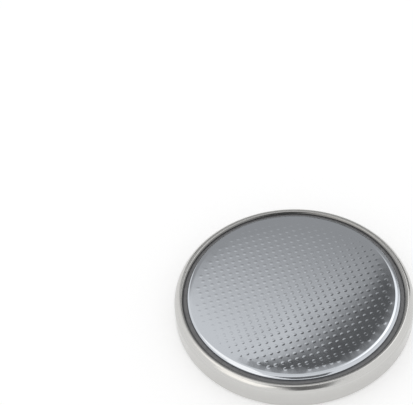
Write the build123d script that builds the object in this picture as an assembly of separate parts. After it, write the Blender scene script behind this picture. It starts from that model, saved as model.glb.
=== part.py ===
from build123d import *
import os
from math import cos, radians, sin

# Lithium coin cell, 20 mm across and 2.5 mm thick, with every piece that it is crimped
# together from. Everything is turned about Z. The can's outside floor, the positive face, lies
# on z = 0, and the negative cap faces up. All sizes are in millimetres.

# The whole cell
cell_diameter = 20.0
cell_height = 2.5
cap_stand = 0.2  # how far the cap's face stands above the crimped rim

# Positive can, one drawn cup whose edge is crimped inwards; bends are inside radii
can_sheet = 0.25
floor_bend = 0.2
shoulder_bend = 0.45
shoulder_turn = 65.0
lip_bend = 0.05
lip_turn = 85.0

# Negative cap, one drawn dish with a stepped skirt; bends are inside radii
cap_sheet = 0.2
groove_width = 1.1  # from the can's outer wall in to the cap's wall
brow_bend = 0.8
brow_turn = 22.0
edge_bend = 0.05
skirt_bend = 0.05
step_fillet = 0.15  # the hollow corner on the outside, under the cap's wall

# Sealing gasket, one moulded ring
gasket_wall = 0.37  # between the cap's skirt and the can's wall
gasket_foot = 0.45  # under the skirt's edge
gasket_width = 0.9
gasket_collar = 0.35  # between the cap's step and the crimped lip
inner_lip_rise = 0.3
collar_recess = 0.22  # below the top of the crimped rim

# Cathode ring, one pressed ring of L section around the pellet
ring_sheet = 0.15
ring_gap = 0.75  # free room between the ring and the gasket
ring_flange = 0.9
ring_bend = 0.05
ring_recess = 0.05  # below the pellet's face

# Anode disc and separator
anode_thickness = 0.5
anode_margin = 1.4  # in from the cap's outer wall
separator_thickness = 0.25
separator_gap = 0.1  # in from the cap's inner wall

# Polarity cross, coined into the positive face
mark_size = 4.2
mark_line = 0.3
mark_depth = 0.03
mark_offset = 5.7

# Places that follow from the sizes above
can_radius = cell_diameter / 2
can_inner_radius = can_radius - can_sheet
rim_height = cell_height - cap_stand
cap_radius = can_radius - groove_width
skirt_radius = can_inner_radius - gasket_wall
step_height = rim_height - can_sheet - gasket_collar
skirt_edge_height = can_sheet + gasket_foot
gasket_inner_radius = can_inner_radius - gasket_width
ring_radius = gasket_inner_radius - ring_gap
anode_top = cell_height - cap_sheet
separator_top = anode_top - anode_thickness
pellet_top = separator_top - separator_thickness


def sheet_side(start, heading, moves, inset):
    """One side of a sheet's section: a chain of straights and bends, inset to its left.

    A move is a length, or a bend given as its radius on the uninset side and its turn,
    which is positive to the left.
    """
    aim = Vector(1, 0).rotate(Axis.Z, heading)
    point = Vector(*start) + aim.rotate(Axis.Z, 90) * inset
    edges = []
    for move in moves:
        if isinstance(move, tuple):
            radius, turn = move
            reach = radius - inset if turn > 0 else radius + inset
            edges.append(JernArc(point, aim, reach, turn))
            aim = aim.rotate(Axis.Z, turn)
        else:
            edges.append(Line(point, point + aim * move))
        point = edges[-1] @ 1
    return edges


def sheet_section(start, heading, moves, inset):
    """The closed section of a sheet with the chain of moves on one side."""
    near = sheet_side(start, heading, moves, 0)
    far = sheet_side(start, heading, moves, inset)
    ends = [Line(near[0] @ 0, far[0] @ 0), Line(near[-1] @ 1, far[-1] @ 1)]
    return make_face([*near, *far, *ends])


def block(inner, outer, low, high):
    """A rectangle in the section plane, from one radius to another."""
    return Pos((inner + outer) / 2, (low + high) / 2) * Rectangle(outer - inner, high - low)


def turned(section):
    """The solid that a section makes about the cell's axis."""
    return revolve(Plane.XZ * section, Axis.Z, 360)


def can_moves():
    """The can's outside, from the middle of its floor to the tip of its lip."""
    floor_radius = floor_bend + can_sheet
    shoulder_radius = shoulder_bend + can_sheet
    lip_radius = lip_bend + can_sheet
    shoulder_rise = sin(radians(shoulder_turn))
    wall_top = rim_height - shoulder_radius * shoulder_rise - lip_radius * (1 - shoulder_rise)
    return [
        can_radius - floor_radius,
        (floor_radius, 90),
        wall_top - floor_radius,
        (shoulder_radius, shoulder_turn),
        (lip_radius, lip_turn),
    ]


def can_section():
    return sheet_section((0, 0), 0, can_moves(), can_sheet)


def can_envelope():
    """Everything inside the can's outer skin, up to the tip of its lip."""
    skin = sheet_side((0, 0), 0, can_moves(), 0)
    tip = skin[-1] @ 1
    lid = Line(tip, (0, tip.Y))
    return make_face([*skin, lid, Line((0, tip.Y), (0, 0))])


def cap_section():
    """The cap from the middle of its face, over its edge and step, to its skirt's edge."""
    brow_radius = brow_bend + cap_sheet
    edge_radius = edge_bend + cap_sheet
    skirt_turn_radius = skirt_bend + cap_sheet
    brow_run, brow_left = sin(radians(brow_turn)), cos(radians(brow_turn))
    face = cap_radius - edge_radius * (1 - brow_run) - brow_radius * brow_run
    wall_top = cell_height - brow_radius * (1 - brow_left) - edge_radius * brow_left
    moves = [
        face,
        (brow_radius, -brow_turn),
        (edge_radius, brow_turn - 90),
        wall_top - step_height - step_fillet,
        (step_fillet, 90),
        skirt_radius - cap_radius - step_fillet - skirt_turn_radius,
        (skirt_turn_radius, -90),
        step_height - skirt_turn_radius - skirt_edge_height,
    ]
    return sheet_section((0, cell_height), 0, moves, -cap_sheet)


def gasket_section():
    """Foot, inner lip, wall and collar, filling what the can and the cap leave."""
    mid_skirt = skirt_radius - cap_sheet / 2
    mid_step = step_height - cap_sheet / 2
    collar_top = rim_height - collar_recess
    foot = block(
        gasket_inner_radius, can_inner_radius, can_sheet, skirt_edge_height + inner_lip_rise
    )
    wall = block(mid_skirt, can_inner_radius, can_sheet, collar_top)
    collar = block(cap_radius, can_inner_radius, mid_step, collar_top)
    return (foot + wall + collar) & can_envelope() - can_section() - cap_section()


def ring_section():
    """An L: a flange on the can's floor and a wall around the pellet."""
    bend_radius = ring_bend + ring_sheet
    wall_top = pellet_top - ring_recess
    moves = [
        ring_flange - bend_radius,
        (bend_radius, 90),
        wall_top - can_sheet - bend_radius,
    ]
    return sheet_section((ring_radius - ring_flange, can_sheet), 0, moves, ring_sheet)


def pellet_section():
    """A flat tablet, pressed into the ring so that it fills its corner."""
    foot = block(0, ring_radius - ring_flange, can_sheet, pellet_top)
    body = block(0, ring_radius - ring_sheet, can_sheet + ring_sheet, pellet_top)
    return foot + body - ring_section()


def polarity_cross():
    """The bars of the cross, as a shallow solid standing on z = 0."""
    bars = Rectangle(mark_size, mark_line) + Rectangle(mark_line, mark_size)
    return extrude(Pos(0, mark_offset) * bars, mark_depth)


def disc(radius, low, high):
    return turned(block(0, radius, low, high))


parts = {
    "positive_can": turned(can_section()) - polarity_cross(),
    "negative_cap": turned(cap_section()),
    "sealing_gasket": turned(gasket_section()),
    "cathode_ring": turned(ring_section()),
    "cathode_pellet": turned(pellet_section()),
    "separator": disc(cap_radius - cap_sheet - separator_gap, pellet_top, separator_top),
    "lithium_anode": disc(cap_radius - anode_margin, separator_top, anode_top),
}

os.makedirs("parts", exist_ok=True)
for name, shape in parts.items():
    export_step(shape, f"parts/{name}.step")
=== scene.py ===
from math import atan2, cos, pi, radians, sin

import bmesh
import bpy
from bpy.props import FloatProperty, FloatVectorProperty, IntProperty, PointerProperty
from bpy.types import Operator, Panel, PropertyGroup
from mathutils import Matrix, Vector


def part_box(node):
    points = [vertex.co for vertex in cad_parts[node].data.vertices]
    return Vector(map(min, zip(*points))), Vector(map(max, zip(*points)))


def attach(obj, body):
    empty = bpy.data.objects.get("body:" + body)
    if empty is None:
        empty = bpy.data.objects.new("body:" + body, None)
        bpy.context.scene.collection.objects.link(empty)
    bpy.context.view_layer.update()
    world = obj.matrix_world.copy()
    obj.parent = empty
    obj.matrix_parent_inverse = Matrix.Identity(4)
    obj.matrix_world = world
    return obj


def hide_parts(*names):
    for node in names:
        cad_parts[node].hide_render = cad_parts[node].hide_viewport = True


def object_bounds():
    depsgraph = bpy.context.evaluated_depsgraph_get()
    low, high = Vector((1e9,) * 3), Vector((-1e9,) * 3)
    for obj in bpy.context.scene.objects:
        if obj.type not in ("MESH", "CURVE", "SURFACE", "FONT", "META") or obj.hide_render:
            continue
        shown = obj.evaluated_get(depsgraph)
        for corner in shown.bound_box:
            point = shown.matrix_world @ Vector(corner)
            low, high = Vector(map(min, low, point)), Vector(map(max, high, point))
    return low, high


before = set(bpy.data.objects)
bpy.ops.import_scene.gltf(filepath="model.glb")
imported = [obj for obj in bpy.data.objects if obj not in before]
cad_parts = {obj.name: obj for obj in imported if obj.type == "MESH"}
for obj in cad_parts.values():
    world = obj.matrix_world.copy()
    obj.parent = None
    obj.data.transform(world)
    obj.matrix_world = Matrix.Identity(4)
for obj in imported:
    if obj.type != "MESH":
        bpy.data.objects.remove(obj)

bl_info = {
    "name": "Lithium coin cell",
    "version": (1, 0, 0),
    "blender": (4, 5, 0),
    "location": "View3D > Sidebar > Coin Cell",
    "description": "Builds a crimped lithium coin cell with an embossed cap, and a plain studio round it",
    "category": "Add Mesh",
}

MM = 0.001
WELD = 0.0005 * MM
SHARP_ANGLE = radians(35)

CAD_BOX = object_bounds()
CAN_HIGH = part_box("positive_can")[1]
CAP_LOW, CAP_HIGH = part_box("negative_cap")
GASKET_LOW, GASKET_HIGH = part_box("sealing_gasket")


def length(name, description, default, low=0.0):
    """A length property in metres."""
    return FloatProperty(
        name=name, description=description, default=default, min=low, unit="LENGTH", precision=5
    )


def place(name, description, default):
    """A place along an axis, in metres either way."""
    return FloatProperty(
        name=name, description=description, default=default, unit="LENGTH", precision=5
    )


def degrees(name, description, default):
    """An angle property, its default given in degrees."""
    return FloatProperty(
        name=name, description=description, default=radians(default), subtype="ANGLE"
    )


def colour(name, description, default):
    """A linear colour property."""
    return FloatVectorProperty(
        name=name, description=description, default=default, size=3, min=0, max=1, subtype="COLOR"
    )


def factor(name, description, default, high=1.0):
    """A plain number from nought up."""
    return FloatProperty(
        name=name, description=description, default=default, min=0, max=high, subtype="FACTOR"
    )


def steps(name, description, default, low):
    """A whole number of steps."""
    return IntProperty(name=name, description=description, default=default, min=low)


class CellCan(PropertyGroup):
    """Sizes and finish of the positive can."""

    sheet: length("Sheet", "Thickness of the can's steel", 0.25 * MM)
    floor_bend: length("Floor bend", "Outside radius between floor and wall", 0.45 * MM)
    shoulder_bend: length("Shoulder bend", "Outside radius of the crimped shoulder", 0.7 * MM)
    shoulder_turn: degrees("Shoulder turn", "How far the shoulder turns inwards", 65)
    lip_bend: length("Lip bend", "Outside radius of the rolled lip", 0.3 * MM)
    lip_turn: degrees("Lip turn", "How far the lip turns down", 85)
    cut_round: length("Cut edge", "Rounding of the sheet's cut edge", 0.05 * MM)
    segments: steps("Segments", "Steps round the can", 256, 32)
    mark_size: length("Mark size", "Span of the polarity cross", 4.2 * MM)
    mark_line: length("Mark line", "Width of the cross's bars", 0.3 * MM)
    mark_depth: length("Mark depth", "How deep the cross is coined", 0.03 * MM)
    mark_offset: length("Mark offset", "From the axis to the cross's middle", 5.7 * MM)
    metal: colour("Metal", "Colour of the nickel plate", (0.60, 0.595, 0.58))
    metal_rough: factor("Roughness", "Roughness of the nickel plate", 0.2)


class CellCap(PropertyGroup):
    """Sizes and finish of the negative cap."""

    sheet: length("Sheet", "Thickness of the cap's steel", 0.2 * MM)
    radius: length("Wall radius", "Radius of the cap's wall above the step", 8.9 * MM)
    brow_bend: length("Brow bend", "Outside radius of the soft bend round the face", 1.0 * MM)
    brow_turn: degrees("Brow turn", "How far the brow turns down", 22)
    edge_bend: length("Edge bend", "Outside radius of the tight bend into the wall", 0.25 * MM)
    step_height: length("Step height", "Height of the step's top", 1.7 * MM)
    step_fillet: length("Step fillet", "Outside hollow between wall and step", 0.15 * MM)
    skirt_bend: length("Skirt bend", "Outside radius between step and skirt", 0.25 * MM)
    crown: length("Crown", "Fall of the face from its middle to its edge", 0.01 * MM)
    edge_roll: length("Edge roll", "Extra fall close to the face's edge", 0.045 * MM)
    roll_power: FloatProperty(
        name="Roll power", description="How late the extra fall sets in", default=12, min=2
    )
    segments: steps("Segments", "Steps round the cap", 256, 32)
    metal: colour("Metal", "Colour of the nickel plate", (0.59, 0.617, 0.655))
    metal_rough: factor("Roughness", "Roughness of the nickel plate", 0.08)


class CellBumps(PropertyGroup):
    """The lattice of small bumps embossed on the cap's face."""

    pitch: length("Pitch", "Distance from bump to bump", 0.606 * MM, 0.1 * MM)
    turn: degrees("Turn", "Turn of the lattice about the axis", 13.1)
    shift_x: place("Shift X", "A bump's place along X", 0.336 * MM)
    shift_y: place("Shift Y", "A bump's place along Y", 0.641 * MM)
    radius: length("Radius", "Radius of a bump's foot", 0.175 * MM)
    height: length("Height", "Height of a bump", 0.0043 * MM)
    field: length("Field", "Radius of the embossed field", 8.1 * MM)
    sides: steps("Sides", "Steps round a bump", 12, 6)
    rings: steps("Rings", "Steps from a bump's top to its foot", 4, 2)


class CellGasket(PropertyGroup):
    """Sizes and finish of the sealing gasket."""

    width: length("Width", "Width of the foot", 0.9 * MM)
    lip_rise: length("Lip rise", "Height of the inner lip above the skirt's edge", 0.3 * MM)
    segments: steps("Segments", "Steps round the ring", 256, 32)
    plastic: colour("Plastic", "Colour of the moulded plastic", (0.21, 0.21, 0.215))


class CellInner(PropertyGroup):
    """Finishes of the pieces sealed inside."""

    ring: colour("Ring", "Colour of the cathode ring's steel", (0.55, 0.55, 0.53))
    powder: colour("Powder", "Colour of the pressed cathode", (0.045, 0.045, 0.045))
    felt: colour("Felt", "Colour of the separator", (0.82, 0.82, 0.78))
    lithium: colour("Lithium", "Colour of the anode's metal", (0.62, 0.62, 0.64))


class CellStage(PropertyGroup):
    """The camera and the studio."""

    camera_distance: length("Camera distance", "From the aim point to the lens", 131 * MM)
    camera_height: degrees("Camera height", "Angle of the view above the floor", 46.35)
    camera_roll: degrees("Camera roll", "Turn of the view about its own axis", -4.65)
    aim_x: place("Aim X", "Aim point along X", -6.60 * MM)
    aim_y: place("Aim Y", "Aim point along Y", 12.24 * MM)
    lens: FloatProperty(name="Lens", description="Focal length in millimetres", default=127.4)
    sky: factor("Sky", "Strength of the white surroundings on the object", 0.75, 10)
    floor_glow: factor("Floor glow", "What brings the floor to white as it is seen", 0.32, 10)
    panel_distance: length("Panel distance", "From the cell to the overhead panel", 150 * MM)
    panel_low: factor("Panel low", "Strength at the panel's dim side", 0.42)
    panel_high: factor("Panel high", "Strength at the panel's bright side", 0.88)
    panel_edge: factor("Panel edge", "Extra strength beyond the flag", 1.0)
    flag: factor("Flag", "Strength of the dark flag on the panel", 0.13)


# ------------------------------------------------------------------ section lines


def bend(points, centre, radius, start, turn, step=radians(4)):
    """Adds points along an arc, from its start angle through its turn, without its first."""
    count = max(2, round(abs(turn) / step))
    for k in range(1, count + 1):
        angle = start + turn * k / count
        points.append(centre + Vector((cos(angle), sin(angle))) * radius)


def follow(start, heading, moves, inset=0.0):
    """Points along one side of a bent sheet, as (radius, height) pairs.

    A move is a length, or a bend as its radius on the uninset side and its turn, which is
    positive to the left. The inset side lies to the left of the way it runs.
    """
    aim = Vector((cos(heading), sin(heading)))
    points = [Vector(start) + Vector((-aim.y, aim.x)) * inset]
    for move in moves:
        if isinstance(move, tuple):
            radius, turn = move
            side = 1 if turn > 0 else -1
            left = Vector((-aim.y, aim.x))
            reach = radius - inset * side
            centre = points[-1] + left * side * reach
            bend(points, centre, reach, atan2(-left.y * side, -left.x * side), turn)
            aim = Matrix.Rotation(turn, 2) @ aim
        else:
            points.append(points[-1] + aim * move)
    return points


def rounded(points, corner, radius, steps=3):
    """The same line with one corner rounded by a short curve."""
    before, here, after = points[corner - 1], points[corner], points[corner + 1]
    enter = here + (before - here).normalized() * radius
    leave = here + (after - here).normalized() * radius
    curve = []
    for k in range(steps + 1):
        t = k / steps
        curve.append(enter * (1 - t) ** 2 + here * 2 * t * (1 - t) + leave * t**2)
    return points[:corner] + curve + points[corner + 1 :]


# ------------------------------------------------------------------ node trees


class Nodes:
    """A node tree while it is built."""

    def __init__(self, tree):
        self.tree = tree

    def link(self, output, socket):
        """Joins an output to an input socket."""
        self.tree.links.new(output, socket)

    def add(self, kind, inputs=(), **settings):
        """A node, its inputs given by name or place as values or as other sockets."""
        node = self.tree.nodes.new(kind)
        for name, value in settings.items():
            setattr(node, name, value)
        for key, value in dict(inputs).items():
            if isinstance(value, bpy.types.NodeSocket):
                self.link(value, node.inputs[key])
            else:
                node.inputs[key].default_value = value
        return node

    def math(self, operation, a, b=0.0):
        """One step of arithmetic."""
        return self.add("ShaderNodeMath", {0: a, 1: b}, operation=operation).outputs[0]

    def reach(self, where):
        """How far a place lies from the middle."""
        return self.add("ShaderNodeVectorMath", {0: where}, operation="LENGTH").outputs["Value"]

    def ramp(self, value, span, start, end, **settings):
        """A change from start to end while a value crosses a span."""
        low, high = span
        inputs = {0: value, 1: low, 2: high, 3: start, 4: end}
        return self.add("ShaderNodeMapRange", inputs, **settings).outputs[0]

    def seen(self):
        """One for rays from the camera or a reflection, and nought for the rest."""
        path = self.add("ShaderNodeLightPath").outputs
        return self.math("ADD", path["Is Camera Ray"], path["Is Glossy Ray"])


class Tree(Nodes):
    """A geometry node group while it is built."""

    def __init__(self, name, sockets):
        super().__init__(bpy.data.node_groups.new(name, "GeometryNodeTree"))
        face = self.tree.interface
        face.new_socket("Geometry", in_out="INPUT", socket_type="NodeSocketGeometry")
        for title, kind in sockets:
            face.new_socket(title, in_out="INPUT", socket_type="NodeSocket" + kind)
        face.new_socket("Geometry", in_out="OUTPUT", socket_type="NodeSocketGeometry")
        self.input = self.tree.nodes.new("NodeGroupInput").outputs
        self.output = self.tree.nodes.new("NodeGroupOutput").inputs[0]

    def join(self, *geometry):
        """Several geometries as one."""
        node = self.add("GeometryNodeJoinGeometry")
        for part in reversed(geometry):
            self.link(part, node.inputs[0])
        return node.outputs[0]

    def weld(self, geometry):
        """The mesh with its doubled points merged."""
        return self.add(
            "GeometryNodeMergeByDistance", {"Geometry": geometry, "Distance": WELD}
        ).outputs[0]

    def close(self, geometry, material):
        """Ends the tree: whole, smooth but for its sharp edges, and with its material."""
        whole = self.add("GeometryNodeRealizeInstances", {"Geometry": geometry}).outputs[0]
        angle = self.add("GeometryNodeInputMeshEdgeAngle").outputs["Unsigned Angle"]
        smooth = self.add("GeometryNodeSetShadeSmooth", {0: whole, 2: True}, domain="FACE")
        sharp = self.math("GREATER_THAN", angle, SHARP_ANGLE)
        edges = self.add(
            "GeometryNodeSetShadeSmooth", {0: smooth.outputs[0], 1: sharp, 2: False}, domain="EDGE"
        )
        named = self.add(
            "GeometryNodeSetMaterial", {"Geometry": edges.outputs[0], "Material": material}
        )
        self.link(named.outputs[0], self.output)


def turned_group():
    """A group that turns a line of (radius, 0, height) points into a mesh about Z."""
    name = "turned about the axis"
    if name in bpy.data.node_groups:
        return bpy.data.node_groups[name]
    nodes = Tree(name, [("Segments", "Int")])
    line, segments = nodes.input["Geometry"], nodes.input["Segments"]
    size = nodes.add("GeometryNodeAttributeDomainSize", {0: line}, component="MESH")
    rows = size.outputs["Point Count"]
    columns = nodes.math("ADD", segments, 1)
    grid = nodes.add("GeometryNodeMeshGrid", {"Vertices X": columns, "Vertices Y": rows})
    # The grid's points run column by column; half a point keeps the division off whole numbers
    index = nodes.add("GeometryNodeInputIndex").outputs[0]
    column = nodes.math("FLOOR", nodes.math("DIVIDE", nodes.math("ADD", index, 0.5), rows))
    row = nodes.math("SUBTRACT", index, nodes.math("MULTIPLY", column, rows))
    where = nodes.add("GeometryNodeInputPosition").outputs[0]
    point = nodes.add(
        "GeometryNodeSampleIndex",
        {"Geometry": line, 1: where, "Index": row},
        data_type="FLOAT_VECTOR",
        domain="POINT",
    ).outputs[0]
    angle = nodes.math("DIVIDE", nodes.math("MULTIPLY", column, 2 * pi), segments)
    spin = nodes.add(
        "ShaderNodeVectorRotate", {"Vector": point, "Angle": angle}, rotation_type="Z_AXIS"
    ).outputs[0]
    moved = nodes.add("GeometryNodeSetPosition", {"Geometry": grid.outputs[0], "Position": spin})
    nodes.link(nodes.weld(moved.outputs[0]), nodes.output)
    return nodes.tree


def turn(nodes, line, segments):
    """A turned mesh inside another tree."""
    inputs = {"Geometry": line, "Segments": segments}
    return nodes.add("GeometryNodeGroup", inputs, node_tree=turned_group()).outputs[0]


def plain_tree(name):
    """The tree of a piece that is only turned."""
    nodes = Tree(name, [("Segments", "Int"), ("Material", "Material")])
    mesh = turn(nodes, nodes.input["Geometry"], nodes.input["Segments"])
    nodes.close(mesh, nodes.input["Material"])
    return nodes.tree


# Rows of bumps beyond the field, for the lattice's turn and shift
SPARE_ROWS = 3


def cap_tree():
    """The cap: a face filled round a lattice of bumps, and the turned sheet beyond it."""
    sockets = [
        ("Segments", "Int"), ("Material", "Material"), ("Face Radius", "Float"),
        ("Face Height", "Float"), ("Crown", "Float"), ("Edge Roll", "Float"),
        ("Roll Power", "Float"), ("Pitch", "Float"), ("Turn", "Float"), ("Shift", "Vector"),
        ("Bump Radius", "Float"), ("Bump Height", "Float"), ("Field", "Float"),
        ("Sides", "Int"), ("Rings", "Int"),
    ]
    nodes = Tree("embossed cap", sockets)
    given = nodes.input

    # The lattice's points, from a square grid wide enough to be turned and shifted
    filled = nodes.math("CEIL", nodes.math("DIVIDE", given["Field"], given["Pitch"]))
    count = nodes.math("ADD", filled, SPARE_ROWS)
    across = nodes.math("ADD", nodes.math("MULTIPLY", count, 2), 1)
    side = nodes.math("MULTIPLY", nodes.math("MULTIPLY", count, 2), given["Pitch"])
    grid = nodes.add(
        "GeometryNodeMeshGrid",
        {"Size X": side, "Size Y": side, "Vertices X": across, "Vertices Y": across},
    ).outputs[0]
    rotation = nodes.add("ShaderNodeCombineXYZ", {"Z": given["Turn"]}).outputs[0]
    laid = nodes.add(
        "GeometryNodeTransform",
        {"Geometry": grid, "Translation": given["Shift"], "Rotation": rotation},
    ).outputs[0]
    where = nodes.add("GeometryNodeInputPosition").outputs[0]
    reach = nodes.reach(where)
    outside = nodes.math("GREATER_THAN", reach, given["Field"])
    points = nodes.add(
        "GeometryNodeDeleteGeometry", {0: laid, 1: outside}, domain="POINT"
    ).outputs[0]
    centres = nodes.add("GeometryNodeMeshToPoints", {"Mesh": points}).outputs[0]

    # One bump: a line from its top to its foot, raised to a low dome and turned
    foot = nodes.add("ShaderNodeCombineXYZ", {"X": given["Bump Radius"]}).outputs[0]
    stations = nodes.math("ADD", given["Rings"], 1)
    line = nodes.add(
        "GeometryNodeMeshLine",
        {"Count": stations, "Start Location": (0, 0, 0), "Offset": foot},
        mode="END_POINTS",
    ).outputs[0]
    out = nodes.add("ShaderNodeSeparateXYZ", {0: where}).outputs["X"]
    share = nodes.math("DIVIDE", out, given["Bump Radius"])
    dome = nodes.math("SUBTRACT", 1, nodes.math("POWER", share, 2))
    rise = nodes.math("MULTIPLY", dome, given["Bump Height"])
    lift = nodes.add("ShaderNodeCombineXYZ", {"Z": rise}).outputs[0]
    raised = nodes.add("GeometryNodeSetPosition", {"Geometry": line, "Offset": lift}).outputs[0]
    bump = turn(nodes, raised, given["Sides"])
    bumps = nodes.add("GeometryNodeInstanceOnPoints", {"Points": centres, "Instance": bump})
    bumps = nodes.add("GeometryNodeRealizeInstances", {"Geometry": bumps.outputs[0]}).outputs[0]

    # The flat between them, filled from its rim and the bumps' feet
    hole = nodes.add(
        "GeometryNodeCurvePrimitiveCircle",
        {"Resolution": given["Sides"], "Radius": given["Bump Radius"]},
    ).outputs[0]
    holes = nodes.add("GeometryNodeInstanceOnPoints", {"Points": centres, "Instance": hole})
    rim = nodes.add(
        "GeometryNodeCurvePrimitiveCircle",
        {"Resolution": given["Segments"], "Radius": given["Face Radius"]},
    ).outputs[0]
    outlines = nodes.add(
        "GeometryNodeRealizeInstances", {"Geometry": nodes.join(rim, holes.outputs[0])}
    ).outputs[0]
    flat = nodes.add("GeometryNodeFillCurve", {"Curve": outlines}, mode="TRIANGLES").outputs[0]
    face = nodes.weld(nodes.join(flat, bumps))

    # The face's fall towards its edge, and its height
    ratio = nodes.math("DIVIDE", reach, given["Face Radius"])
    crown = nodes.math("MULTIPLY", nodes.math("POWER", ratio, 2), given["Crown"])
    roll = nodes.math("MULTIPLY", nodes.math("POWER", ratio, given["Roll Power"]), given["Edge Roll"])
    height = nodes.math("SUBTRACT", nodes.math("SUBTRACT", given["Face Height"], crown), roll)
    fall = nodes.add("ShaderNodeCombineXYZ", {"Z": height}).outputs[0]
    face = nodes.add("GeometryNodeSetPosition", {"Geometry": face, "Offset": fall}).outputs[0]

    sheet = turn(nodes, given["Geometry"], given["Segments"])
    nodes.close(nodes.weld(nodes.join(face, sheet)), given["Material"])
    return nodes.tree


def made(name, line, tree, values):
    """A plain mesh object from a section line and a node tree, with the inputs named."""
    mesh = bpy.data.meshes.new(name + " line")
    points = [(p.x, 0, p.y) for p in line]
    mesh.from_pydata(points, [(k, k + 1) for k in range(len(points) - 1)], [])
    draft = bpy.data.objects.new(name + " draft", mesh)
    bpy.context.collection.objects.link(draft)
    modifier = draft.modifiers.new("make", "NODES")
    modifier.node_group = tree
    for item in tree.interface.items_tree:
        if item.in_out == "INPUT" and item.name in values:
            modifier[item.identifier] = values[item.name]
    draft.update_tag()
    graph = bpy.context.evaluated_depsgraph_get()
    solid = bpy.data.meshes.new_from_object(draft.evaluated_get(graph), depsgraph=graph)
    draft.modifiers.clear()
    bpy.data.objects.remove(draft)
    solid.name = name
    piece = bpy.data.objects.new(name, solid)
    bpy.context.collection.objects.link(piece)
    return piece


def face_out(piece):
    """Turns every face of a closed piece outwards."""
    bm = bmesh.new()
    bm.from_mesh(piece.data)
    bmesh.ops.recalc_face_normals(bm, faces=bm.faces)
    loose = [e for e in bm.edges if len(e.link_faces) != 2]
    if loose:
        raise RuntimeError(f"{piece.name} has {len(loose)} open or doubled edges")
    bm.to_mesh(piece.data)
    bm.free()


# ------------------------------------------------------------------ finishes


# Cloudy patches: their scale and detail, the noise they span and how far they change the gloss
CLOUD_SCALE = 420
CLOUD_DETAIL = 3
CLOUD_SPAN = (0.3, 0.7)
CLOUD_SPREAD = 0.35
# Rolled grain: its scale and detail, its stretch along the rolling and its height
ROLLED_SCALE = 9000
ROLLED_DETAIL = 2
ROLLED_STRETCH = (1, 0.08, 1)
ROLLED_HEIGHT = 0.001 * MM
# Scratches: which way each set runs, its stretch and its scale, and the noise that opens one
SCRATCHES = ((0.5, 0.02, 1800), (2.2, 0.025, 1400), (1.2, 0.015, 1100))
SCRATCH_DETAIL = 1
SCRATCH_SPAN = (0.66, 0.72)
# Painted shade by the groove: where it fades, about its radius, and how much of the plate's tone is left
GROOVE_SHADE_FADE = (-0.12 * MM, 0.06 * MM)
GROOVE_SHADE_TONE = 0.3
# Dull grain: its detail, roughness and relief, and the noise between its two colours
DULL_DETAIL = 5
DULL_ROUGHNESS = 0.6
DULL_RELIEF = 0.6
DULL_SPAN = (0.35, 0.65)


class Finish(Nodes):
    """A new material while it is built, with what never changes set on its shader's sockets."""

    def __init__(self, name, base, rough, metal=1.0):
        self.material = bpy.data.materials.new(name)
        self.material.use_nodes = True
        super().__init__(self.material.node_tree)
        self.shader = self.tree.nodes["Principled BSDF"].inputs
        self.shader["Base Color"].default_value = (*base, 1)
        self.shader["Roughness"].default_value = rough
        self.shader["Metallic"].default_value = metal

    def place(self):
        """Where a point lies on the object."""
        return self.add("ShaderNodeTexCoord").outputs["Object"]

    def stretched(self, where, scale, turned=0.0):
        """A place turned about Z and then stretched, so that a grain runs one way."""
        inputs = {"Vector": where, "Rotation": (0, 0, turned), "Scale": scale}
        return self.add("ShaderNodeMapping", inputs).outputs[0]

    def noise(self, where, scale, detail, roughness=0.5):
        """Soft noise between nought and one."""
        inputs = {"Vector": where, "Scale": scale, "Detail": detail, "Roughness": roughness}
        return self.add("ShaderNodeTexNoise", inputs).outputs[0]

    def tint(self, share, first, second):
        """Gives the shader a mix of two colours, by a share."""
        inputs = {"Factor": share, 6: (*first, 1), 7: (*second, 1)}
        mixed = self.add("ShaderNodeMix", inputs, data_type="RGBA").outputs[2]
        self.link(mixed, self.shader["Base Color"])

    def relief(self, heights, strength, distance):
        """Gives the shader a fine relief."""
        inputs = {"Height": heights, "Strength": strength, "Distance": distance}
        self.link(self.add("ShaderNodeBump", inputs).outputs[0], self.shader["Normal"])


def plated_metal(name, base, rough, grain, scratch):
    """Bright nickel plate with a fine rolled grain, faint scratches and cloudy patches."""
    plate = Finish(name, base, rough)
    where = plate.place()
    cloud = plate.noise(where, CLOUD_SCALE, CLOUD_DETAIL)
    least, most = rough * (1 - CLOUD_SPREAD), rough * (1 + CLOUD_SPREAD)
    plate.link(plate.ramp(cloud, CLOUD_SPAN, least, most), plate.shader["Roughness"])
    heights = plate.noise(plate.stretched(where, ROLLED_STRETCH), ROLLED_SCALE, ROLLED_DETAIL)
    for turned, narrow, scale in SCRATCHES:
        laid = plate.stretched(where, (1, narrow, 1), turned)
        streak = plate.noise(laid, scale, SCRATCH_DETAIL)
        cut = plate.ramp(streak, SCRATCH_SPAN, 0, -scratch)
        heights = plate.math("ADD", heights, cut)
    plate.relief(heights, grain, ROLLED_HEIGHT)
    return plate


def painted_groove_shade(plate, base, radius, height):
    """Painted shade: darkens plated metal inside a radius and above a height, on the lip's inner side by
    the groove.
    """
    where = plate.place()
    level = plate.add("ShaderNodeVectorMath", {0: where, 1: (1, 1, 0)}, operation="MULTIPLY")
    reach = plate.reach(level.outputs[0])
    fade = (radius + GROOVE_SHADE_FADE[0], radius + GROOVE_SHADE_FADE[1])
    inner = plate.ramp(reach, fade, 1, 0)
    up = plate.add("ShaderNodeSeparateXYZ", {0: where}).outputs["Z"]
    above = plate.math("GREATER_THAN", up, height)
    # The plate's tone darkened for the painted shade
    shaded = tuple(part * GROOVE_SHADE_TONE for part in base)
    plate.tint(plate.math("MULTIPLY", inner, above), base, shaded)


def grainy(name, base, other, rough, scale, depth, stretch=(1, 1, 1), metal=0.0):
    """A dull material whose colour and surface follow one grain, such as powder or felt."""
    dull = Finish(name, base, rough, metal)
    laid = dull.stretched(dull.place(), stretch)
    grain = dull.noise(laid, scale, DULL_DETAIL, DULL_ROUGHNESS)
    dull.tint(dull.ramp(grain, DULL_SPAN, 0, 1), base, other)
    dull.relief(grain, DULL_RELIEF, depth)
    return dull


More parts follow.
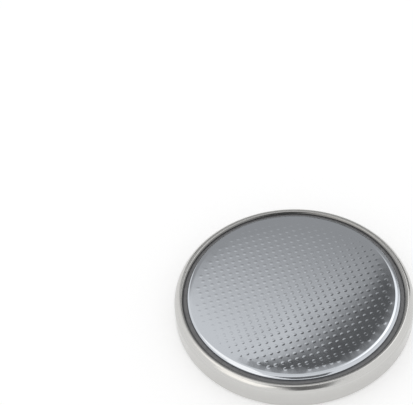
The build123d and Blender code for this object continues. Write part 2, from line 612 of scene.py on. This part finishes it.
# ------------------------------------------------------------------ the pieces


# How many sheets inwards of the face's edge the cap's flat inside begins
CAP_FLAT_START = 3
# How much of the plastic's tone is left in the dark of its grain
PLASTIC_DARK = 0.8


def can_wall_top(can):
    """The height at which the can's wall meets its crimped shoulder."""
    rise = sin(can.shoulder_turn)
    return CAN_HIGH.z - can.shoulder_bend * rise - can.lip_bend * (1 - rise)


def can_line(can):
    """The can's section, from its floor's edge outside round to the axis inside."""
    bends = [
        (can.floor_bend, pi / 2),
        can_wall_top(can) - can.floor_bend,
        (can.shoulder_bend, can.shoulder_turn),
        (can.lip_bend, can.lip_turn),
    ]
    flat = CAN_HIGH.x - can.floor_bend
    outside = follow((flat, 0), 0, bends)
    inside = follow((flat, 0), 0, bends, can.sheet)
    section = outside + inside[::-1] + [Vector((0, can.sheet))]
    tip = len(outside) - 1
    section = rounded(section, tip + 1, can.cut_round)
    return rounded(section, tip, can.cut_round)


def marked_floor(piece, can):
    """Closes the can's floor outside, round a coined cross that has the last material."""
    bm = bmesh.new()
    bm.from_mesh(piece.data)
    rim = [e for e in bm.edges if len(e.link_faces) == 1]
    half, bar = can.mark_size / 2, can.mark_line / 2
    outline = []
    for quarter in range(4):
        for x, y in ((bar, bar), (half, bar), (half, -bar)):
            turned = Matrix.Rotation(-quarter * pi / 2, 2) @ Vector((x, y))
            outline.append(turned + Vector((0, can.mark_offset)))
    low = [bm.verts.new((x, y, 0)) for x, y in outline]
    high = [bm.verts.new((x, y, can.mark_depth)) for x, y in outline]
    ring = [bm.edges.new((low[k - 1], low[k])) for k in range(len(low))]
    for k in range(len(low)):
        bm.faces.new((low[k - 1], low[k], high[k], high[k - 1]))
    floor = bm.faces.new(high)
    floor.material_index = len(piece.data.materials) - 1
    bmesh.ops.triangle_fill(bm, edges=rim + ring, use_beauty=True)
    bm.normal_update()
    bm.to_mesh(piece.data)
    bm.free()


def cap_line(cap, face_edge, edge_height, slope):
    """The cap's section, from its face's edge over the step to the skirt and back inside."""
    skirt = CAP_HIGH.x
    brow_fall = cap.brow_bend * (cos(slope) - cos(cap.brow_turn))
    wall_top = edge_height - brow_fall - cap.edge_bend * cos(cap.brow_turn)
    bends = [
        (cap.brow_bend, slope - cap.brow_turn),
        (cap.edge_bend, cap.brow_turn - pi / 2),
        wall_top - cap.step_height - cap.step_fillet,
        (cap.step_fillet, pi / 2),
        skirt - cap.radius - cap.step_fillet - cap.skirt_bend,
        (cap.skirt_bend, -pi / 2),
        cap.step_height - cap.skirt_bend - CAP_LOW.z,
    ]
    outside = follow((face_edge, edge_height), -slope, bends)
    inside = follow((face_edge, edge_height), -slope, bends, -cap.sheet)
    under = CAP_HIGH.z - cap.sheet
    flat = [Vector((face_edge - CAP_FLAT_START * cap.sheet, under)), Vector((0, under))]
    return outside + inside[::-1] + flat


def gasket_line(gasket, can, cap):
    """The gasket's closed section, following the can outside and the cap's skirt inside."""
    inner = GASKET_HIGH.x
    bottom, top = GASKET_LOW.z, GASKET_HIGH.z
    skirt, edge = CAP_HIGH.x, CAP_LOW.z
    foot_bend = can.floor_bend - can.sheet
    line = [Vector((inner - gasket.width, bottom)), Vector((inner - foot_bend, bottom))]
    bend(line, Vector((inner - foot_bend, bottom + foot_bend)), foot_bend, -pi / 2, pi / 2)
    shoulder = can.shoulder_bend - can.sheet
    centre = Vector((inner - shoulder, can_wall_top(can)))
    bend(line, centre, shoulder, 0, min(can.shoulder_turn, pi / 2))
    line.append(Vector((cap.radius, top)))
    line.append(Vector((cap.radius, cap.step_height + cap.step_fillet)))
    corner = Vector((cap.radius + cap.step_fillet, cap.step_height + cap.step_fillet))
    bend(line, corner, cap.step_fillet, pi, pi / 2)
    turn_centre = Vector((skirt - cap.skirt_bend, cap.step_height - cap.skirt_bend))
    bend(line, turn_centre, cap.skirt_bend, pi / 2, -pi / 2)
    line.append(Vector((skirt, edge)))
    line.append(Vector((skirt - cap.sheet, edge)))
    line.append(Vector((skirt - cap.sheet, edge + gasket.lip_rise)))
    line.append(Vector((inner - gasket.width, edge + gasket.lip_rise)))
    line.append(line[0])
    return line


class OBJECT_OT_cell_can(Operator):
    """Make the crimped positive can"""

    bl_idname = "object.cell_can"
    bl_label = "Positive can"

    def execute(self, context):
        can = context.scene.cell_can
        metal = plated_metal("can nickel", can.metal, can.metal_rough, grain=0.2, scratch=0.5)
        # Painted shade on the lip's inner side by the groove, inside this radius and above half the can's
        # height
        shade_radius = CAN_HIGH.x - can.shoulder_bend + can.cut_round * 2
        painted_groove_shade(metal, can.metal, shade_radius, CAN_HIGH.z / 2)
        mark = plated_metal("coined mark", can.metal, can.metal_rough * 2, grain=0.5, scratch=0.5)
        values = {"Segments": can.segments, "Material": metal.material}
        piece = made("can_shell", can_line(can), plain_tree("turned can"), values)
        piece.data.materials.append(mark.material)
        marked_floor(piece, can)
        face_out(piece)
        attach(piece, "root")
        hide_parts("positive_can")
        return {"FINISHED"}


class OBJECT_OT_cell_cap(Operator):
    """Make the negative cap with its embossed face"""

    bl_idname = "object.cell_cap"
    bl_label = "Negative cap"

    def execute(self, context):
        cap, bumps = context.scene.cell_cap, context.scene.cell_bumps
        metal = plated_metal("cap nickel", cap.metal, cap.metal_rough, grain=0.25, scratch=0.6)
        lean = sin(cap.brow_turn)
        inner = cap.radius - cap.edge_bend * (1 - lean) - cap.brow_bend * lean
        slope = atan2(2 * cap.crown + cap.roll_power * cap.edge_roll, inner)
        face_edge = inner + cap.brow_bend * sin(slope)
        low = cap.crown + cap.edge_roll + bumps.height
        values = {
            "Segments": cap.segments,
            "Material": metal.material,
            "Face Radius": face_edge,
            "Face Height": CAP_HIGH.z - bumps.height,
            "Crown": cap.crown,
            "Edge Roll": cap.edge_roll,
            "Roll Power": cap.roll_power,
            "Pitch": bumps.pitch,
            "Turn": bumps.turn,
            "Shift": (bumps.shift_x, bumps.shift_y, 0),
            "Bump Radius": bumps.radius,
            "Bump Height": bumps.height,
            "Field": bumps.field,
            "Sides": bumps.sides,
            "Rings": bumps.rings,
        }
        line = cap_line(cap, face_edge, CAP_HIGH.z - low, slope)
        piece = made("cap_shell", line, cap_tree(), values)
        face_out(piece)
        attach(piece, "root")
        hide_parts("negative_cap")
        return {"FINISHED"}


class OBJECT_OT_cell_gasket(Operator):
    """Make the moulded sealing gasket"""

    bl_idname = "object.cell_gasket"
    bl_label = "Sealing gasket"

    def execute(self, context):
        scene = context.scene
        gasket = scene.cell_gasket
        dark = tuple(part * PLASTIC_DARK for part in gasket.plastic)
        plastic = grainy(
            "gasket plastic", gasket.plastic, dark, rough=0.45, scale=2500, depth=0.002 * MM
        )
        line = gasket_line(gasket, scene.cell_can, scene.cell_cap)
        values = {"Segments": gasket.segments, "Material": plastic.material}
        piece = made("gasket_ring", line, plain_tree("turned gasket"), values)
        face_out(piece)
        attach(piece, "root")
        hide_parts("sealing_gasket")
        return {"FINISHED"}


class OBJECT_OT_cell_inner(Operator):
    """Give the pieces sealed inside the cell their finishes"""

    bl_idname = "object.cell_inner"
    bl_label = "Inner pieces"

    def execute(self, context):
        inner = context.scene.cell_inner
        finishes = {
            "cathode_ring": plated_metal("ring steel", inner.ring, 0.3, grain=0.3, scratch=0.5),
            "cathode_pellet": grainy(
                "pressed powder",
                inner.powder,
                (0.02, 0.02, 0.02),
                rough=0.9,
                scale=6000,
                depth=0.01 * MM,
            ),
            "separator": grainy(
                "wetted felt",
                inner.felt,
                (0.7, 0.7, 0.66),
                rough=0.7,
                scale=5000,
                depth=0.01 * MM,
                stretch=(1, 0.2, 1),
            ),
            "lithium_anode": grainy(
                "lithium",
                inner.lithium,
                (0.45, 0.45, 0.47),
                rough=0.4,
                scale=900,
                depth=0.003 * MM,
                metal=1.0,
            ),
        }
        for node, finish in finishes.items():
            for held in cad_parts[node].material_slots:
                held.material = finish.material
        return {"FINISHED"}


# ------------------------------------------------------------------ the studio


WHITE = (1, 1, 1)
WARM_WHITE = (1, 0.98, 0.95)
# Cards: name, azimuth from +X and height in degrees, distance, width, height, strength, colour
REFLECTED_CARDS = (
    ("lens flag", -82, 56, 0.16, 0.085, 0.170, 0.18, WHITE),
    ("right flag", 58, 17, 0.20, 0.160, 0.070, 0.12, WHITE),
    ("back flag", 88, 14, 0.30, 0.340, 0.130, 0.26, WHITE),
    ("high left light", 168, 62, 0.13, 0.060, 0.070, 1.5, WARM_WHITE),
    ("left light", 218, 44, 0.20, 0.120, 0.120, 1.6, WARM_WHITE),
)
PANEL_WIDTH = 0.2
# The overhead panel's soft edges: which way each faces, and where it starts and ends that way
PANEL_SLOPE = ((-0.2, 0.98, 0), (-0.013, 0.015))
BRIGHT_SIDE = ((1, 0, 0), (0.025, 0.050))
BRIGHT_FOOT = ((0, 1, 0), (-0.035, -0.012))
FLAG_SIDE = ((0.66, 0.75, 0), (0.0072, 0.0138))
# Its round soft edges: how far from its middle each starts and ends
BRIGHT_INSIDE = (0.034, 0.044)
BRIGHT_OUTSIDE = (0.075, 0.100)
FLAG_OUTSIDE = (0.026, 0.040)
FLOOR_WIDTH = 1.2
PAPER = (0.92, 0.92, 0.92)
PAPER_ROUGH = 0.9
NEAREST_SEEN = 0.001
FARTHEST_SEEN = 10


def rectangle(name, width, tall):
    """A level rectangle's mesh about the origin."""
    x, y = width / 2, tall / 2
    mesh = bpy.data.meshes.new(name)
    mesh.from_pydata([(-x, -y, 0), (x, -y, 0), (x, y, 0), (-x, y, 0)], [], [(0, 1, 2, 3)])
    return mesh


class OBJECT_OT_cell_stage(Operator):
    """Make the camera, the floor and the studio light"""

    bl_idname = "object.cell_stage"
    bl_label = "Stage"

    def execute(self, context):
        stage = context.scene.cell_stage
        self.camera(context, stage)
        self.floor(context, stage)
        self.surroundings(context, stage)
        self.panel(context, stage)
        for name, azimuth, height, *rest in REFLECTED_CARDS:
            self.card(context, name, radians(azimuth), radians(height), *rest)
        context.scene.view_settings.view_transform = "Standard"
        return {"FINISHED"}

    def camera(self, context, stage):
        """The camera, tilted down at its aim point and rolled about its own axis."""
        data = bpy.data.cameras.new("camera")
        data.lens = stage.lens
        camera = bpy.data.objects.new("camera", data)
        aim = Vector((stage.aim_x, stage.aim_y, CAD_BOX[1].z / 2))
        tilt = Matrix.Rotation(pi / 2 - stage.camera_height, 4, "X")
        roll = Matrix.Rotation(stage.camera_roll, 4, "Z")
        back = tilt @ Vector((0, 0, stage.camera_distance))
        camera.matrix_world = Matrix.Translation(aim + back) @ tilt @ roll
        data.clip_start, data.clip_end = NEAREST_SEEN, FARTHEST_SEEN
        context.collection.objects.link(camera)
        context.scene.camera = camera

    def floor(self, context, stage):
        """White paper that shows brighter than it lights, and keeps the cell's shadow."""
        floor = bpy.data.objects.new("floor", rectangle("floor", FLOOR_WIDTH, FLOOR_WIDTH))
        paper = Finish("floor paper", PAPER, PAPER_ROUGH, metal=0.0)
        paper.shader["Specular IOR Level"].default_value = 0
        paper.shader["Emission Color"].default_value = (*WHITE, 1)
        glow = paper.math("MULTIPLY", paper.seen(), stage.floor_glow)
        paper.link(glow, paper.shader["Emission Strength"])
        floor.data.materials.append(paper.material)
        context.collection.objects.link(floor)

    def card(self, context, name, azimuth, height, distance, width, tall, strength, tone=WHITE):
        """A card facing the cell that only shows in the metal; its nodes and its light."""
        card = bpy.data.objects.new(name, rectangle(name, width, tall))
        away = Vector((cos(azimuth) * cos(height), sin(azimuth) * cos(height), sin(height)))
        facing = (-away).to_track_quat("Z", "Y").to_matrix().to_4x4()
        card.matrix_world = Matrix.Translation(away * distance) @ facing
        card.visible_camera = False
        card.visible_diffuse = False
        card.visible_shadow = False
        material = bpy.data.materials.new(name)
        material.use_nodes = True
        nodes = Nodes(material.node_tree)
        nodes.tree.nodes.clear()
        output = nodes.add("ShaderNodeOutputMaterial")
        light = nodes.add("ShaderNodeEmission", {"Color": (*tone, 1), "Strength": strength})
        nodes.link(light.outputs[0], output.inputs["Surface"])
        card.data.materials.append(material)
        context.collection.objects.link(card)
        return nodes, light

    def panel(self, context, stage):
        """The overhead panel: dim to bright across it, with a soft-edged dark flag.

        It stands where the cell's level face mirrors the lens.
        """
        lens = context.scene.camera.matrix_world.translation
        back = Vector((-lens.x, -lens.y, lens.z - CAD_BOX[1].z))
        azimuth = atan2(back.y, back.x)
        height = atan2(back.z, back.xy.length)
        nodes, light = self.card(
            context, "panel", azimuth, height, stage.panel_distance, PANEL_WIDTH, PANEL_WIDTH, 1.0
        )
        where = nodes.add("ShaderNodeTexCoord").outputs["Object"]
        reach = nodes.reach(where)

        def round_edge(span, start, end):
            """A smooth change from start to end over a span out from the panel's middle."""
            return nodes.ramp(reach, span, start, end, interpolation_type="SMOOTHSTEP")

        def straight_edge(edge, start, end):
            """A smooth change from start to end over an edge that faces one way."""
            facing, span = edge
            along = nodes.add("ShaderNodeVectorMath", {0: where, 1: facing}, operation="DOT_PRODUCT")
            value = along.outputs["Value"]
            return nodes.ramp(value, span, start, end, interpolation_type="SMOOTHSTEP")

        base = straight_edge(PANEL_SLOPE, stage.panel_low, stage.panel_high)
        bright = nodes.math(
            "MULTIPLY", round_edge(BRIGHT_INSIDE, 0, 1), round_edge(BRIGHT_OUTSIDE, 1, 0)
        )
        bright = nodes.math("MULTIPLY", bright, straight_edge(BRIGHT_SIDE, 0, stage.panel_edge))
        bright = nodes.math("MULTIPLY", bright, straight_edge(BRIGHT_FOOT, 0, 1))
        base = nodes.math("ADD", base, bright)
        near = straight_edge(FLAG_SIDE, 0, 1)
        inside = nodes.math("MULTIPLY", near, round_edge(FLAG_OUTSIDE, 1, 0))
        inputs = {"Factor": inside, 2: base, 3: stage.flag}
        level = nodes.add("ShaderNodeMix", inputs, data_type="FLOAT").outputs[0]
        nodes.link(level, light.inputs["Strength"])

    def surroundings(self, context, stage):
        """A white world that lights the cell more softly than it shows."""
        world = bpy.data.worlds.new("studio")
        world.use_nodes = True
        context.scene.world = world
        nodes = Nodes(world.node_tree)
        background = nodes.tree.nodes["Background"].inputs
        background["Color"].default_value = (*WHITE, 1)
        nodes.link(nodes.ramp(nodes.seen(), (0, 1), stage.sky, 1), background["Strength"])


# ------------------------------------------------------------------ the panel and the run


class VIEW3D_PT_cell(Panel):
    """The coin cell's pieces, sizes and finishes"""

    bl_idname = "VIEW3D_PT_cell"
    bl_label = "Coin Cell"
    bl_space_type = "VIEW_3D"
    bl_region_type = "UI"
    bl_category = "Coin Cell"

    def draw(self, context):
        for operator, groups in STEPS:
            box = self.layout.box()
            box.operator(operator)
            for group in groups:
                settings = getattr(context.scene, group)
                for name in type(settings).__annotations__:
                    box.prop(settings, name)


GROUPS = {
    "cell_can": CellCan,
    "cell_cap": CellCap,
    "cell_bumps": CellBumps,
    "cell_gasket": CellGasket,
    "cell_inner": CellInner,
    "cell_stage": CellStage,
}
STEPS = (
    ("object.cell_can", ("cell_can",)),
    ("object.cell_cap", ("cell_cap", "cell_bumps")),
    ("object.cell_gasket", ("cell_gasket",)),
    ("object.cell_inner", ("cell_inner",)),
    ("object.cell_stage", ("cell_stage",)),
)
CLASSES = (
    *GROUPS.values(),
    OBJECT_OT_cell_can,
    OBJECT_OT_cell_cap,
    OBJECT_OT_cell_gasket,
    OBJECT_OT_cell_inner,
    OBJECT_OT_cell_stage,
    VIEW3D_PT_cell,
)


def register():
    for item in CLASSES:
        bpy.utils.register_class(item)
    for name, group in GROUPS.items():
        setattr(bpy.types.Scene, name, PointerProperty(type=group))


def unregister():
    for name in GROUPS:
        delattr(bpy.types.Scene, name)
    for item in reversed(CLASSES):
        bpy.utils.unregister_class(item)


def main():
    register()
    bpy.ops.object.cell_can()
    bpy.ops.object.cell_cap()
    bpy.ops.object.cell_gasket()
    bpy.ops.object.cell_inner()
    bpy.ops.object.cell_stage()


if __name__ == "__main__":
    main()
